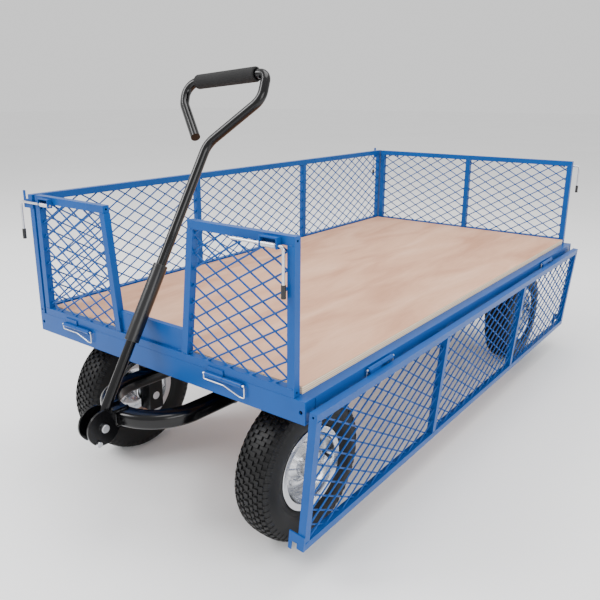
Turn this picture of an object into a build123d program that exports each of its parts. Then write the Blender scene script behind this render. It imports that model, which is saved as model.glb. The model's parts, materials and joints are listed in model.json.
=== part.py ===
from build123d import *
from math import atan2, ceil, cos, degrees, radians, sin
import os

os.makedirs("parts", exist_ok=True)

# Millimetres. While the cart is drawn, 0, 0, 0 is the floor under the middle of the bed, +X is the
# right side, -Y is the drawbar end and +Z is up. The front running gear is drawn straight ahead and
# the side panel upright; each is turned to its parked place as it is saved.

# Bed
BED_LENGTH = 2000.0
BED_WIDTH = 1000.0
FRAME_TOP = 484.0
BEAM_HEIGHT = 56.0
BEAM_FLANGE = 40.0
BEAM_WALL = 4.0
CORNER_HOLE_RADIUS = 5.0
CORNER_HOLE_INSET = 12.0
DECK_INSET = 30.0
DECK_THICKNESS = 18.0
SCREW_RADIUS = 3.0
SCREW_HEAD_RADIUS = 6.0
SCREW_HEAD_HEIGHT = 3.0
SCREW_DEPTH = 12.0
SCREW_PLACES = (-920.0, -600.0, -200.0, 200.0, 560.0, 900.0)
CROSS_WIDTH = 50.0
CROSS_WALL = 4.0
CROSS_PLACES = (-400.0, 0.0, 380.0)
BOLSTER_WIDTH = 120.0

# Wheels and axles
WHEEL_RADIUS = 200.0
TYRE_WIDTH = 112.0
TYRE_WALL = 10.0
BEAD_RADIUS = 102.0
BEAD_HALF = 38.5
TREAD_HALF = 44.0
TREAD_CROWN = 9.0
RIM_FLANGE_RADIUS = 112.0
RIM_HALF_WIDTH = 42.0
RIM_WALL = 3.0
DISC_PLACE = 8.0
HUB_RADIUS = 30.0
HUB_LENGTH = 104.0
BEARING_WIDTH = 14.0
BEARING_RADIUS = 24.0
AXLE_RADIUS = 12.5
AXLE_TIP = 64.0
WASHER_RADIUS = 20.0
WASHER_THICKNESS = 4.0
HALF_TRACK = 354.0
FRONT_AXLE_Y = -800.0
REAR_AXLE_Y = 745.0
RUNNING_GAP = 0.05
PARKED_STEER = -3.5

# Running gear under the bed
LEG_OUTER = 292.0
LEG_SIZE = 50.0
LEG_BOTTOM = 155.0
AXLE_BEAM_BOTTOM = 354.0
AXLE_BEAM_TOP = 406.0
AXLE_BEAM_WIDTH = 60.0
RING_RADIUS = 115.0
RING_GAP = 0.4
RING_SPLIT = 424.0
KINGPIN_RADIUS = 15.0
KINGPIN_HEAD_RADIUS = 24.0
KINGPIN_HEAD_HEIGHT = 14.0

# Drawbar: yoke, clevis and handle
YOKE_SPREAD = 134.0
YOKE_WIDTH = 50.0
YOKE_HEIGHT = 39.0
YOKE_BACK = -30.0
YOKE_BEND = 165.0
CHEEK_RISE = 7.0
YOKE_BOLT_RADIUS = 5.0
YOKE_BOLT_HEAD = 9.0
PIVOT_FORWARD = 360.0
PIVOT_HEIGHT = 325.0
CHEEK_RADIUS = 46.0
CHEEK_GAP = 34.0
CHEEK_WALL = 6.0
CHEEK_REACH = 285.0
PIVOT_PIN_RADIUS = 8.0
PIVOT_HEAD_RADIUS = 11.0
PIVOT_HEAD_HEIGHT = 8.0
STOP_RADIUS = 5.0
STOP_HEAD_RADIUS = 8.0
STOP_FORWARD = 20.0
STOP_DROP = 36.0
HANDLE_LEAN = 30.3
HANDLE_RADIUS = 13.0
HANDLE_EYE_RADIUS = 17.0
SLEEVE_START = 223.0
SLEEVE_END = 432.0
SLEEVE_RADIUS = 19.0
GRIP_RADIUS = 20.0
LOOP_POINTS = ((776.0, 0.0), (910.0, 136.0), (986.0, 120.0), (958.0, -180.0), (893.0, -156.0), (794.0, -56.0))
LOOP_RADII = (60.0, 45.0, 28.0, 34.0, 50.0)
GRIP_SPAN = (34.0, 255.0)

# Mesh panels
PANEL_HEIGHT = 360.0
MEMBER = 20.0
DRAIN_RADIUS = 3.0
MEMBER_WALL = 2.0
PANEL_GAP = 0.4
END_PANEL_INSET = 30.0
SIDE_BAYS = 3
WIRE_WIDTH = 4.0
WIRE_THICKNESS = 3.0
DIAMOND_LENGTH = 70.0
DIAMOND_HEIGHT = 41.0
NOTCH_BOTTOM = 116.0
NOTCH_TOP = 156.0
PLATE_TOP = 562.0
PLATE_THICKNESS = 3.0
PLATE_RECESS = 8.0
PLATE_LIP = 12.0

# Hinges between the panels and the bed
HINGE_OUT = 6.6
HINGE_DROP = 9.0
BARREL_RADIUS = 6.0
BARREL_LENGTH = 58.0
BARREL_GAP = 1.0
PIN_RADIUS = 3.0
PIN_OVERHANG = 8.0
TAB_WIDTH = 50.0
TAB_THICKNESS = 3.0
KEEPER_RADIUS = 1.6
KEEPER_RING = 7.0
KEEPER_DROP = 30.0
SIDE_HINGES = (-690.0, 636.0)
FRONT_HINGES = (-310.0, 265.0)
REAR_HINGES = (-290.0, 290.0)

# Latches at the top corners of the end panels
LATCH_HEIGHT = 822.0
LATCH_OUT = 8.6
LATCH_RADIUS = 3.5
LATCH_INNER = 300.0
LATCH_LEG = 82.0
LATCH_BEND = 9.0
LATCH_GRIP_LENGTH = 30.0
LATCH_GRIP_RADIUS = 5.5
LATCH_RETRACTED = 447.0
LATCH_OFFSETS = {"front_right": 0.0, "front_left": 83.0, "rear_right": 46.0, "rear_left": 83.0}
EAR_INNER = 385.0
EAR_OUTER = 434.0
EAR_THICKNESS = 3.0
BRACKET_TOP = 18.0
SPRING_RADIUS = 7.0
SPRING_WIRE = 1.2
SPRING_TURNS = 12
SPRING_FACETS = 6
COLLAR_WIDTH = 5.0
LUG_REACH = 24.0
LUG_HEIGHT = 40.0
LUG_RISE = 10.0
LUG_FINGER = 9.0
LUG_THICKNESS = 3.0
LUG_NOTCH = 14.0

# Derived places
HALF_LENGTH = BED_LENGTH / 2
HALF_WIDTH = BED_WIDTH / 2
BEAM_BOTTOM = FRAME_TOP - BEAM_HEIGHT
PANEL_BOTTOM = FRAME_TOP + PANEL_GAP
PANEL_TOP = FRAME_TOP + PANEL_HEIGHT
END_PANEL_HALF = HALF_WIDTH - END_PANEL_INSET
HINGE_HEIGHT = FRAME_TOP - HINGE_DROP
HINGE_X = HALF_WIDTH + HINGE_OUT
HINGE_Y = HALF_LENGTH + HINGE_OUT
HANG_ANGLE = 180 + degrees(atan2(HINGE_OUT + MEMBER / 2, HINGE_DROP + PANEL_HEIGHT / 2))
LEAN = radians(HANDLE_LEAN)

# The origin of the finished cart is on the floor, in the middle of its outline.
FRONT_REACH = PIVOT_FORWARD - FRONT_AXLE_Y + CHEEK_RADIUS
REAR_REACH = HALF_LENGTH + LATCH_OUT + LATCH_GRIP_RADIUS
LEFT_REACH = LATCH_RETRACTED + LATCH_OFFSETS["front_left"] + LATCH_GRIP_RADIUS
RIGHT_REACH = HALF_WIDTH + MEMBER + 2 * HINGE_OUT
TO_ORIGIN = Location(((LEFT_REACH - RIGHT_REACH) / 2, (FRONT_REACH - REAR_REACH) / 2, 0))
STEERED = Location((0, FRONT_AXLE_Y, 0)) * Location((0, 0, 0), (0, 0, PARKED_STEER)) * Location((0, -FRONT_AXLE_Y, 0))
HUNG = (
    Location((HINGE_X, 0, HINGE_HEIGHT))
    * Location((0, 0, 0), (0, HANG_ANGLE, 0))
    * Location((-HINGE_X, 0, -HINGE_HEIGHT))
)


def save(piece, name, turned=None):
    """Move a finished piece to its parked place in the cart's own frame and write its STEP."""
    if turned is not None:
        piece.part = piece.part.moved(turned)
    piece.part = piece.part.moved(TO_ORIGIN)
    piece.part.label = name
    export_step(piece.part, f"parts/{name}.step")


def bar(x_span, y_span, z_span, mode=Mode.ADD):
    """Add, or cut, the rectangular bar that fills three spans."""
    spans = [sorted(span) for span in (x_span, y_span, z_span)]
    middle = tuple((low + high) / 2 for low, high in spans)
    size = tuple(high - low for low, high in spans)
    with Locations(middle):
        Box(*size, mode=mode)


def tube(x_span, y_span, z_span, along, wall=MEMBER_WALL):
    """Add a rectangular tube, open at both ends, whose length runs along the axis 'X', 'Y' or 'Z'."""
    bar(x_span, y_span, z_span)
    inner = []
    for axis, span in zip("XYZ", (x_span, y_span, z_span)):
        low, high = sorted(span)
        inner.append((low, high) if axis == along else (low + wall, high - wall))
    bar(*inner, mode=Mode.SUBTRACT)


def rail(x_span, y_span, z_span, along):
    """Add a rectangular tube along 'X' or 'Y' whose ends are closed but for a drain hole."""
    bar(x_span, y_span, z_span)
    spans = [sorted(span) for span in (x_span, y_span, z_span)]
    bar(*[(low + MEMBER_WALL, high - MEMBER_WALL) for low, high in spans], mode=Mode.SUBTRACT)
    middles = [sum(span) / 2 for span in spans]
    if along == "X":
        rod_x(x_span, middles[1], middles[2], DRAIN_RADIUS, Mode.SUBTRACT)
    else:
        rod_y(y_span, middles[0], middles[2], DRAIN_RADIUS, Mode.SUBTRACT)


def rod_x(x_span, y, z, radius, mode=Mode.ADD):
    """Add, or cut, a round bar along X."""
    low, high = sorted(x_span)
    with Locations(((low + high) / 2, y, z)):
        Cylinder(radius, high - low, rotation=(0, 90, 0), mode=mode)


def rod_y(y_span, x, z, radius, mode=Mode.ADD):
    """Add, or cut, a round bar along Y."""
    low, high = sorted(y_span)
    with Locations((x, (low + high) / 2, z)):
        Cylinder(radius, high - low, rotation=(90, 0, 0), mode=mode)


def rod_z(z_span, x, y, radius, mode=Mode.ADD):
    """Add, or cut, a round bar along Z."""
    low, high = sorted(z_span)
    with Locations((x, y, (low + high) / 2)):
        Cylinder(radius, high - low, mode=mode)


# ---------------------------------------------------------------- bed


def end_beam(end):
    """Folded channel across one end of the bed, open towards the middle; end is -1 front, 1 rear."""
    face = end * HALF_LENGTH
    with BuildPart() as beam:
        bar((-HALF_WIDTH, HALF_WIDTH), (face, face - end * BEAM_FLANGE), (BEAM_BOTTOM, FRAME_TOP))
        inner = (face - end * BEAM_WALL, face - end * BEAM_FLANGE)
        bar((-HALF_WIDTH, HALF_WIDTH), inner, (BEAM_BOTTOM + BEAM_WALL, FRAME_TOP - BEAM_WALL), Mode.SUBTRACT)
        for side in (-1, 1):
            hole_x = side * (HALF_WIDTH - CORNER_HOLE_INSET)
            hole_z = (BEAM_BOTTOM + FRAME_TOP) / 2
            rod_y((face, face - end * BEAM_WALL), hole_x, hole_z, CORNER_HOLE_RADIUS, Mode.SUBTRACT)
    return beam


SCREW_X = HALF_WIDTH - BEAM_FLANGE + SCREW_HEAD_RADIUS
SCREW_POINTS = [(side * SCREW_X, place) for side in (-1, 1) for place in SCREW_PLACES]


def side_beam(side):
    """Folded channel along one side of the bed, butted between the end beams."""
    face = side * HALF_WIDTH
    run = (BEAM_FLANGE - HALF_LENGTH, HALF_LENGTH - BEAM_FLANGE)
    with BuildPart() as beam:
        bar((face, face - side * BEAM_FLANGE), run, (BEAM_BOTTOM, FRAME_TOP))
        inner = (face - side * BEAM_WALL, face - side * BEAM_FLANGE)
        bar(inner, run, (BEAM_BOTTOM + BEAM_WALL, FRAME_TOP - BEAM_WALL), Mode.SUBTRACT)
        for x, y in SCREW_POINTS:
            if x * side > 0:
                rod_z((FRAME_TOP - BEAM_WALL, FRAME_TOP), x, y, SCREW_RADIUS, Mode.SUBTRACT)
    return beam


front_beam = end_beam(-1)
save(front_beam, "front_beam")
rear_beam = end_beam(1)
save(rear_beam, "rear_beam")
left_beam = side_beam(-1)
save(left_beam, "left_beam")
right_beam = side_beam(1)
save(right_beam, "right_beam")

CROSS_TOP = FRAME_TOP - BEAM_WALL
CROSS_BOTTOM = BEAM_BOTTOM + BEAM_WALL
CROSS_END = HALF_WIDTH - BEAM_WALL


def cross_channel(place, width):
    """Inverted channel across the bed, between the side beams' webs."""
    bar((-CROSS_END, CROSS_END), (place - width / 2, place + width / 2), (CROSS_BOTTOM, CROSS_TOP))
    inner = (place - width / 2 + CROSS_WALL, place + width / 2 - CROSS_WALL)
    bar((-CROSS_END, CROSS_END), inner, (CROSS_BOTTOM, CROSS_TOP - CROSS_WALL), Mode.SUBTRACT)


with BuildPart() as cross_members:
    for place in CROSS_PLACES:
        cross_channel(place, CROSS_WIDTH)
save(cross_members, "cross_members")

with BuildPart() as bolsters:
    cross_channel(REAR_AXLE_Y, BOLSTER_WIDTH)
    cross_channel(FRONT_AXLE_Y, BOLSTER_WIDTH)
    bar(
        (-RING_RADIUS, RING_RADIUS),
        (FRONT_AXLE_Y - BOLSTER_WIDTH / 2 + CROSS_WALL, FRONT_AXLE_Y + BOLSTER_WIDTH / 2 - CROSS_WALL),
        (CROSS_BOTTOM, CROSS_BOTTOM + CROSS_WALL),
    )
    rod_z((CROSS_BOTTOM, CROSS_BOTTOM + CROSS_WALL), 0, FRONT_AXLE_Y, KINGPIN_RADIUS, Mode.SUBTRACT)
save(bolsters, "bolsters")

DECK_X = HALF_WIDTH - DECK_INSET
DECK_Y = HALF_LENGTH - DECK_INSET
DECK_TOP = FRAME_TOP + DECK_THICKNESS
with BuildPart() as deck_board:
    bar((-DECK_X, DECK_X), (-DECK_Y, DECK_Y), (FRAME_TOP, DECK_TOP))
    for x, y in SCREW_POINTS:
        rod_z((FRAME_TOP, FRAME_TOP + SCREW_DEPTH), x, y, SCREW_RADIUS, Mode.SUBTRACT)
save(deck_board, "deck_board")

with BuildPart() as deck_screws:
    for x, y in SCREW_POINTS:
        under = FRAME_TOP - BEAM_WALL
        rod_z((under, FRAME_TOP + SCREW_DEPTH), x, y, SCREW_RADIUS)
        rod_z((under - SCREW_HEAD_HEIGHT, under), x, y, SCREW_HEAD_RADIUS)
save(deck_screws, "deck_screws")


# ---------------------------------------------------------------- wheels


def wheel_plane(x, y):
    """Plane through a wheel's axis whose local x is the axle line and whose local y is the radius."""
    return Plane(origin=(x, y, WHEEL_RADIUS), x_dir=(1, 0, 0), z_dir=(0, -1, 0))


def make_wheel(name, side, axle_y, turned):
    """Tyre, rim with its hub, and the two hub bearings of one wheel."""
    half = TYRE_WIDTH / 2
    shoulder = WHEEL_RADIUS - TREAD_CROWN
    waist = (BEAD_RADIUS + WHEEL_RADIUS) / 2
    plane = wheel_plane(side * HALF_TRACK, axle_y)
    spin = Axis((side * HALF_TRACK, axle_y, WHEEL_RADIUS), (1, 0, 0))
    with BuildPart() as tyre:
        with BuildSketch(plane):
            with BuildLine():
                crown = ThreePointArc((-TREAD_HALF, shoulder), (0, WHEEL_RADIUS), (TREAD_HALF, shoulder))
                walls = []
                for edge in (-1, 1):
                    rise = Line((edge * BEAD_HALF, BEAD_RADIUS), (edge * BEAD_HALF, RIM_FLANGE_RADIUS + 1))
                    bulge = Spline(
                        rise @ 1,
                        (edge * half, waist),
                        (edge * TREAD_HALF, shoulder),
                        tangents=((0, 1), (-edge, 1)),
                    )
                    walls.append(rise @ 0)
                Polyline(
                    walls[1],
                    (BEAD_HALF - TYRE_WALL, BEAD_RADIUS),
                    (half - TYRE_WALL, waist),
                    (TREAD_HALF - TYRE_WALL, shoulder - 2 * TYRE_WALL),
                    (TYRE_WALL - TREAD_HALF, shoulder - 2 * TYRE_WALL),
                    (TYRE_WALL - half, waist),
                    (TYRE_WALL - BEAD_HALF, BEAD_RADIUS),
                    walls[0],
                )
            make_face()
        revolve(axis=spin)
    save(tyre, f"tyre_{name}", turned)

    disc = side * DISC_PLACE
    bead = BEAD_RADIUS - RUNNING_GAP
    with BuildPart() as rim:
        with BuildSketch(plane):
            with BuildLine():
                Polyline(
                    (-RIM_HALF_WIDTH, RIM_FLANGE_RADIUS),
                    (-RIM_HALF_WIDTH, bead - 2 * RIM_WALL),
                    (-RIM_HALF_WIDTH / 2, bead - 3 * RIM_WALL - TYRE_WALL),
                    (RIM_HALF_WIDTH / 2, bead - 3 * RIM_WALL - TYRE_WALL),
                    (RIM_HALF_WIDTH, bead - 2 * RIM_WALL),
                    (RIM_HALF_WIDTH, RIM_FLANGE_RADIUS),
                    (RIM_HALF_WIDTH - RIM_WALL, RIM_FLANGE_RADIUS),
                    (RIM_HALF_WIDTH - RIM_WALL, bead),
                    (RIM_HALF_WIDTH - 4 * RIM_WALL, bead),
                    (RIM_HALF_WIDTH / 2, bead - 2 * RIM_WALL - TYRE_WALL),
                    (-RIM_HALF_WIDTH / 2, bead - 2 * RIM_WALL - TYRE_WALL),
                    (4 * RIM_WALL - RIM_HALF_WIDTH, bead),
                    (RIM_WALL - RIM_HALF_WIDTH, bead),
                    (RIM_WALL - RIM_HALF_WIDTH, RIM_FLANGE_RADIUS),
                    close=True,
                )
            make_face()
            with BuildLine():
                Polyline(
                    (disc - RIM_WALL / 2, bead - 3 * RIM_WALL - TYRE_WALL),
                    (disc + RIM_WALL / 2, bead - 3 * RIM_WALL - TYRE_WALL),
                    (disc + RIM_WALL / 2 + side * TYRE_WALL, HUB_RADIUS),
                    (disc - RIM_WALL / 2 + side * TYRE_WALL, HUB_RADIUS),
                    close=True,
                )
            make_face()
            hub_span = HUB_LENGTH / 2
            shell = BEARING_RADIUS + RUNNING_GAP
            with BuildLine():
                Polyline(
                    (-hub_span, HUB_RADIUS),
                    (hub_span, HUB_RADIUS),
                    (hub_span, shell),
                    (-hub_span, shell),
                    close=True,
                )
            make_face()
        revolve(axis=spin)
    save(rim, f"rim_{name}", turned)

    with BuildPart() as bearings:
        for end in (-1, 1):
            x_span = (end * hub_span, end * (hub_span - BEARING_WIDTH))
            place = side * HALF_TRACK
            world = tuple(place + x for x in x_span)
            rod_x(world, axle_y, WHEEL_RADIUS, BEARING_RADIUS)
            rod_x(world, axle_y, WHEEL_RADIUS, AXLE_RADIUS + RUNNING_GAP, Mode.SUBTRACT)
    save(bearings, f"bearings_{name}", turned)


for wheel_name, wheel_side, wheel_y, wheel_turn in (
    ("front_left", -1, FRONT_AXLE_Y, STEERED),
    ("front_right", 1, FRONT_AXLE_Y, STEERED),
    ("rear_left", -1, REAR_AXLE_Y, None),
    ("rear_right", 1, REAR_AXLE_Y, None),
):
    make_wheel(wheel_name, wheel_side, wheel_y, wheel_turn)


def stub_axles(axle_y):
    """The two stub axles of one pair of wheels, each with its outer washer, through the legs."""
    with BuildPart() as axles:
        for side in (-1, 1):
            inner = side * (LEG_OUTER - LEG_SIZE)
            tip = side * (HALF_TRACK + AXLE_TIP)
            rod_x((inner, tip), axle_y, WHEEL_RADIUS, AXLE_RADIUS)
            washer = HALF_TRACK + HUB_LENGTH / 2 + PANEL_GAP
            spacer = HALF_TRACK - HUB_LENGTH / 2 - PANEL_GAP
            rod_x((side * washer, side * (washer + WASHER_THICKNESS)), axle_y, WHEEL_RADIUS, WASHER_RADIUS)
            rod_x((side * LEG_OUTER, side * spacer), axle_y, WHEEL_RADIUS, WASHER_RADIUS)
    return axles


def axle_legs(axle_y, top):
    """The two box legs that carry the stub axles of one pair of wheels."""
    with BuildPart() as legs:
        for side in (-1, 1):
            x_span = (side * (LEG_OUTER - LEG_SIZE), side * LEG_OUTER)
            bar(x_span, (axle_y - LEG_SIZE / 2, axle_y + LEG_SIZE / 2), (LEG_BOTTOM, top))
            rod_x(x_span, axle_y, WHEEL_RADIUS, AXLE_RADIUS, Mode.SUBTRACT)
    return legs


def axle_beam(axle_y, bottom, top):
    """Rectangular tube across the cart over one pair of legs."""
    with BuildPart() as beam:
        y_span = (axle_y - AXLE_BEAM_WIDTH / 2, axle_y + AXLE_BEAM_WIDTH / 2)
        tube((-LEG_OUTER, LEG_OUTER), y_span, (bottom, top), "X", BEAM_WALL)
    return beam


front_axles = stub_axles(FRONT_AXLE_Y)
save(front_axles, "front_stub_axles", STEERED)
rear_axles = stub_axles(REAR_AXLE_Y)
save(rear_axles, "rear_stub_axles")
front_legs = axle_legs(FRONT_AXLE_Y, AXLE_BEAM_BOTTOM)
save(front_legs, "front_axle_legs", STEERED)
rear_legs = axle_legs(REAR_AXLE_Y, AXLE_BEAM_TOP)
save(rear_legs, "rear_axle_legs")
rear_axle_beam = axle_beam(REAR_AXLE_Y, AXLE_BEAM_TOP, CROSS_BOTTOM)
save(rear_axle_beam, "rear_axle_beam")

front_axle_beam = axle_beam(FRONT_AXLE_Y, AXLE_BEAM_BOTTOM, AXLE_BEAM_TOP)
YOKE_BOLTS = [(side * YOKE_SPREAD, FRONT_AXLE_Y + end * YOKE_BOLT_HEAD * 2) for side in (-1, 1) for end in (-1, 1)]
with front_axle_beam:
    rod_z((AXLE_BEAM_BOTTOM, AXLE_BEAM_TOP), 0, FRONT_AXLE_Y, KINGPIN_RADIUS + RUNNING_GAP, Mode.SUBTRACT)
    for x, y in YOKE_BOLTS:
        rod_z((AXLE_BEAM_BOTTOM, AXLE_BEAM_BOTTOM + BEAM_WALL), x, y, YOKE_BOLT_RADIUS, Mode.SUBTRACT)
save(front_axle_beam, "front_axle_beam", STEERED)

# Turntable: the upper ring is welded under the bed, the lower ring turns with the axle.
with BuildPart() as turntable_upper:
    rod_z((RING_SPLIT, CROSS_BOTTOM), 0, FRONT_AXLE_Y, RING_RADIUS)
    rod_z((RING_SPLIT, CROSS_BOTTOM), 0, FRONT_AXLE_Y, KINGPIN_RADIUS, Mode.SUBTRACT)
save(turntable_upper, "turntable_upper_ring")

with BuildPart() as turntable_lower:
    rod_z((AXLE_BEAM_TOP, RING_SPLIT - RING_GAP), 0, FRONT_AXLE_Y, RING_RADIUS)
    rod_z((AXLE_BEAM_TOP, RING_SPLIT), 0, FRONT_AXLE_Y, KINGPIN_RADIUS + RUNNING_GAP, Mode.SUBTRACT)
save(turntable_lower, "turntable_lower_ring", STEERED)

with BuildPart() as kingpin:
    top = CROSS_BOTTOM + CROSS_WALL
    nut_top = AXLE_BEAM_TOP - BEAM_WALL - PANEL_GAP
    rod_z((nut_top, top), 0, FRONT_AXLE_Y, KINGPIN_RADIUS)
    rod_z((nut_top - KINGPIN_HEAD_HEIGHT, nut_top), 0, FRONT_AXLE_Y, KINGPIN_HEAD_RADIUS)
    rod_z((top, top + KINGPIN_HEAD_HEIGHT), 0, FRONT_AXLE_Y, KINGPIN_HEAD_RADIUS)
save(kingpin, "kingpin")


# ---------------------------------------------------------------- drawbar

YOKE_TOP = AXLE_BEAM_BOTTOM
YOKE_BOTTOM = YOKE_TOP - YOKE_HEIGHT


def yoke_outline(radius):
    """U-shaped outline in plan: two straight arms and the half circle that joins them in front."""
    front = FRONT_AXLE_Y - YOKE_BEND
    back = FRONT_AXLE_Y - YOKE_BACK
    with BuildSketch(Plane.XY.offset(YOKE_BOTTOM)) as outline:
        with BuildLine():
            bend = ThreePointArc((-radius, front), (0, front - radius), (radius, front))
            Polyline(bend @ 1, (radius, back), (-radius, back), bend @ 0)
        make_face()
    return outline.sketch


with BuildPart() as drawbar_yoke:
    extrude(yoke_outline(YOKE_SPREAD + YOKE_WIDTH / 2), amount=YOKE_HEIGHT)
    extrude(yoke_outline(YOKE_SPREAD - YOKE_WIDTH / 2), amount=YOKE_HEIGHT, mode=Mode.SUBTRACT)
    for x, y in YOKE_BOLTS:
        rod_z((YOKE_BOTTOM, YOKE_TOP), x, y, YOKE_BOLT_RADIUS, Mode.SUBTRACT)
save(drawbar_yoke, "drawbar_yoke", STEERED)

with BuildPart() as yoke_bolts:
    for x, y in YOKE_BOLTS:
        rod_z((YOKE_BOTTOM, YOKE_TOP + BEAM_WALL), x, y, YOKE_BOLT_RADIUS)
        for head_bottom in (YOKE_BOTTOM - YOKE_BOLT_HEAD, YOKE_TOP + BEAM_WALL):
            with BuildSketch(Plane.XY.offset(head_bottom)):
                with Locations((x, y)):
                    RegularPolygon(YOKE_BOLT_HEAD, 6)
            extrude(amount=YOKE_BOLT_HEAD)
save(yoke_bolts, "yoke_bolts", STEERED)

PIVOT_Y = FRONT_AXLE_Y - PIVOT_FORWARD
STOP_Y = PIVOT_Y - STOP_FORWARD
STOP_Z = PIVOT_HEIGHT - STOP_DROP
YOKE_FRONT = FRONT_AXLE_Y - YOKE_BEND - YOKE_SPREAD - YOKE_WIDTH / 2
CHEEK_INNER = CHEEK_GAP / 2
CHEEK_OUTER = CHEEK_INNER + CHEEK_WALL
with BuildPart() as clevis_cheeks:
    for cheek_side in (-1, 1):
        x_span = (cheek_side * CHEEK_INNER, cheek_side * CHEEK_OUTER)
        rod_x(x_span, PIVOT_Y, PIVOT_HEIGHT, CHEEK_RADIUS)
        bar(x_span, (PIVOT_Y, FRONT_AXLE_Y - CHEEK_REACH), (YOKE_BOTTOM - CHEEK_RISE, YOKE_TOP + CHEEK_RISE))
        bar(x_span, (YOKE_FRONT, FRONT_AXLE_Y), (YOKE_BOTTOM, YOKE_TOP), Mode.SUBTRACT)
        rod_x(x_span, PIVOT_Y, PIVOT_HEIGHT, PIVOT_PIN_RADIUS, Mode.SUBTRACT)
        rod_x(x_span, STOP_Y, STOP_Z, STOP_RADIUS, Mode.SUBTRACT)
save(clevis_cheeks, "clevis_cheeks", STEERED)


with BuildPart() as clevis_bolts:
    for y, z, radius, head in (
        (PIVOT_Y, PIVOT_HEIGHT, PIVOT_PIN_RADIUS, PIVOT_HEAD_RADIUS),
        (STOP_Y, STOP_Z, STOP_RADIUS, STOP_HEAD_RADIUS),
    ):
        rod_x((-CHEEK_OUTER, CHEEK_OUTER), y, z, radius)
        for cheek_side in (-1, 1):
            rod_x((cheek_side * CHEEK_OUTER, cheek_side * (CHEEK_OUTER + PIVOT_HEAD_HEIGHT)), y, z, head)
save(clevis_bolts, "clevis_bolts", STEERED)


def handle_point(along, across):
    """Point on the handle's plane: along the tube from the pivot, and across the cart."""
    return Vector(across, PIVOT_Y + along * sin(LEAN), PIVOT_HEIGHT + along * cos(LEAN))


def round_section(start, direction, radius):
    """Circle square to a direction, centred on a point."""
    with BuildSketch(Plane(origin=start, z_dir=direction)) as section:
        Circle(radius)
    return section.sketch


with BuildPart() as handle_tube:
    eye_half = CHEEK_INNER - 1
    rod_x((-eye_half, eye_half), PIVOT_Y, PIVOT_HEIGHT, HANDLE_EYE_RADIUS)
    with BuildLine() as tube_line:
        corners = [handle_point(*corner) for corner in LOOP_POINTS]
        FilletPolyline(handle_point(0, 0), *corners, radius=LOOP_RADII)
    sweep(round_section(tube_line.line @ 0, tube_line.line % 0, HANDLE_RADIUS), path=tube_line.line)
    rod_x((-eye_half, eye_half), PIVOT_Y, PIVOT_HEIGHT, PIVOT_PIN_RADIUS + RUNNING_GAP, Mode.SUBTRACT)
save(handle_tube, "handle_tube", STEERED)


def tube_cover(start, end, radius):
    """Sleeve over a straight stretch of the handle tube."""
    length = (end - start).length
    with BuildPart() as cover:
        extrude(round_section(start, end - start, radius), amount=length)
        extrude(round_section(start, end - start, HANDLE_RADIUS), amount=length, mode=Mode.SUBTRACT)
    return cover


handle_sleeve = tube_cover(handle_point(SLEEVE_START, 0), handle_point(SLEEVE_END, 0), SLEEVE_RADIUS)
save(handle_sleeve, "handle_sleeve", STEERED)
loop_right = handle_point(*LOOP_POINTS[2])
loop_left = handle_point(*LOOP_POINTS[3])
grip_run = (loop_left - loop_right).normalized()
handle_grip = tube_cover(loop_right + grip_run * GRIP_SPAN[0], loop_right + grip_run * GRIP_SPAN[1], GRIP_RADIUS)
save(handle_grip, "handle_grip", STEERED)


# ---------------------------------------------------------------- panels


def diamond_sheet(width, height):
    """Welded wire sheet seen square on: a rectangle with rows of diamond openings inside its border."""
    rows = ceil(height / DIAMOND_HEIGHT) * 2 + 2
    columns = ceil(width / DIAMOND_LENGTH) + 2
    hole_x = DIAMOND_LENGTH / 2 - WIRE_WIDTH
    hole_y = DIAMOND_HEIGHT / 2 - WIRE_WIDTH * DIAMOND_HEIGHT / DIAMOND_LENGTH
    places = []
    for row in range(rows):
        for column in range(columns):
            x = (column - columns / 2 + row % 2 / 2) * DIAMOND_LENGTH
            y = (row - rows / 2) * DIAMOND_HEIGHT / 2
            if abs(x) < width / 2 + hole_x - 2 * WIRE_WIDTH and abs(y) < height / 2 + hole_y - 2 * WIRE_WIDTH:
                places.append((x, y))
    with BuildSketch() as openings:
        with Locations(*places):
            Polygon((hole_x, 0), (0, hole_y), (-hole_x, 0), (0, -hole_y))
        Rectangle(width - 2 * WIRE_WIDTH, height - 2 * WIRE_WIDTH, mode=Mode.INTERSECT)
    with BuildSketch() as sheet:
        Rectangle(width, height)
        add(openings.sketch, mode=Mode.SUBTRACT)
    return sheet.sketch


def mesh_bays(sheet, plane, middles):
    """Wire sheets side by side, each centred at a distance along the plane's local x."""
    with BuildSketch(plane.offset(-WIRE_THICKNESS / 2)) as bays:
        with Locations(*[(middle, 0) for middle in middles]):
            add(sheet)
    extrude(bays.sketch, amount=WIRE_THICKNESS)


def barrel_pair(centre):
    """Spans along a hinge of the panel's barrel and the bed's barrel, side by side."""
    return (centre - BARREL_LENGTH - BARREL_GAP / 2, centre - BARREL_GAP / 2), (
        centre + BARREL_GAP / 2,
        centre + BARREL_GAP / 2 + BARREL_LENGTH,
    )


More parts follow.
